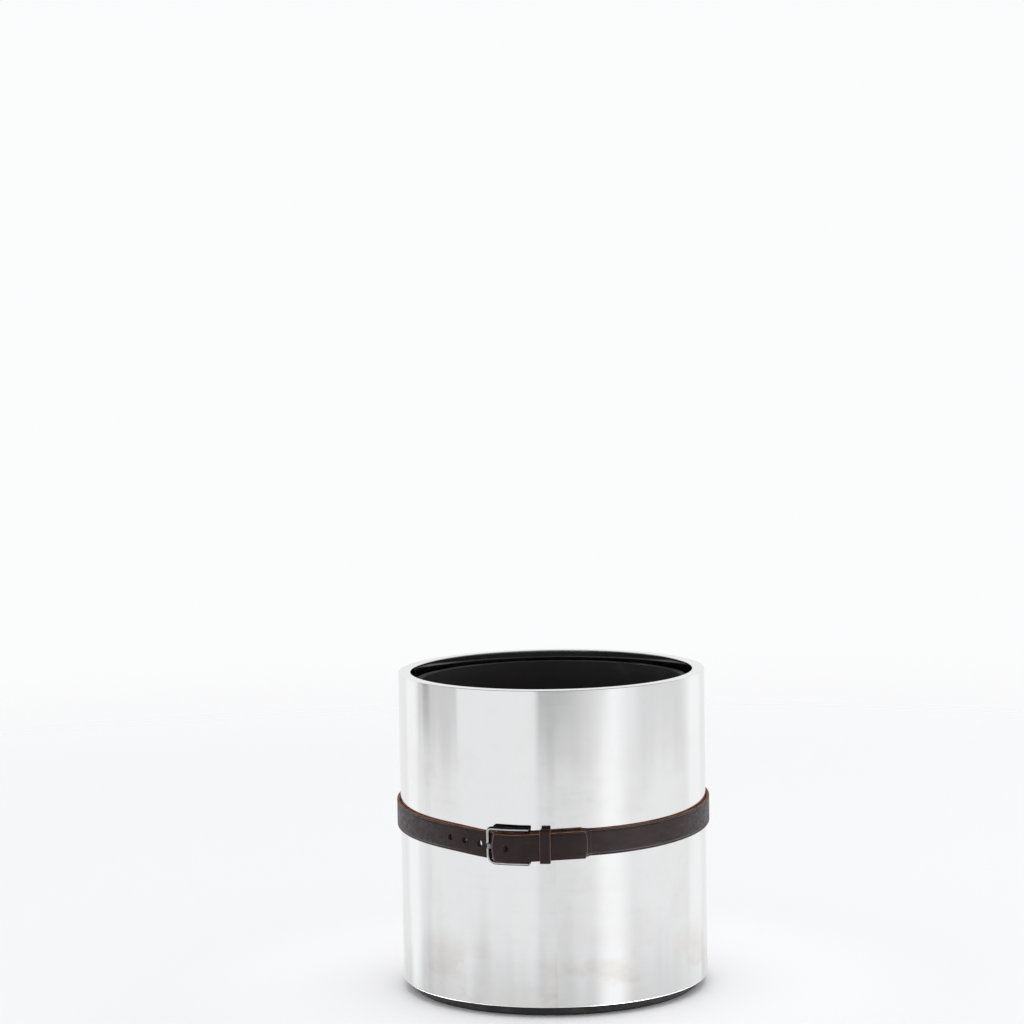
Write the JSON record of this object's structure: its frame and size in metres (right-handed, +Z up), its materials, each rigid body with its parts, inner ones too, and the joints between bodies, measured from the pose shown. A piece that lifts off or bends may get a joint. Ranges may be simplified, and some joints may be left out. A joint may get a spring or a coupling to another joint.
{
  "type": "belted cylinder planter",
  "caption": "Polished metal cylinder planter on a recessed plinth, with a lift-out grow pot and saucer, and a leather belt buckled round its middle.",
  "frame": {"origin": "on the floor, on the planter's axis, in the plane of the rubber foot ring", "axes": "+Z up along the planter's axis; -Y is the front, where the buckle is; +X is to the right seen from the front"},
  "size_m": [0.3662, 0.3775, 0.37],
  "materials": {
    "polished_aluminium": "mirror polished, with fine wipe marks and faint smudges",
    "mill_aluminium": "plain rolled sheet",
    "plinth_black": "plywood painted matt black",
    "black_rubber": "matt",
    "black_plastic": "satin moulded plastic",
    "brown_leather": "full-grain dark brown leather with raw tan edges",
    "gunmetal": "dark nickel plate, rubbed bright on the crests",
    "zinc_steel": "zinc plated"
  },
  "bodies": {
    "planter": {"outer_shell": "polished_aluminium", "rim_ring": "polished_aluminium", "base_disc": "mill_aluminium", "plinth_ring": "plinth_black", "plinth_screws": "zinc_steel", "foot_ring": "black_rubber"},
    "saucer": {"drip_saucer": "black_plastic"},
    "inner_pot": {"grow_pot": "black_plastic"},
    "belt": {"belt_strap": "brown_leather", "flap_posts": "gunmetal", "flap_screws": "gunmetal"},
    "frame": {"buckle_frame": "gunmetal", "buckle_pin": "gunmetal"},
    "prong": {"buckle_prong": "gunmetal"},
    "keeper": {"belt_keeper": "brown_leather", "keeper_staple": "zinc_steel"}
  },
  "joints": [
    {"name": "saucer_lift", "type": "slide", "parent": "planter", "child": "saucer", "axis": [0, 0, 1], "range_m": [0, 0.38]},
    {"name": "pot_lift", "type": "slide", "parent": "saucer", "child": "inner_pot", "axis": [0, 0, 1], "range_m": [0, 0.38]},
    {"name": "belt_turn", "type": "hinge", "parent": "planter", "child": "belt", "pos_m": [0, 0, 0.2072], "axis": [0, -0.0471, 0.9989], "continuous": true},
    {"name": "keeper_slide", "type": "hinge", "parent": "belt", "child": "keeper", "pos_m": [0, 0, 0.2072], "axis": [0, -0.0471, 0.9989], "range_deg": [-1.2, 3.4]},
    {"name": "frame_pivot", "type": "hinge", "parent": "belt", "child": "frame", "pos_m": [-0.03122, -0.18052, 0.19869], "axis": [0, -0.0471, 0.9989], "range_deg": [0, 1]},
    {"name": "prong_pivot", "type": "hinge", "parent": "frame", "child": "prong", "pos_m": [-0.03122, -0.18052, 0.19869], "axis": [0, -0.0471, 0.9989], "range_deg": [0, 1]}
  ]
}
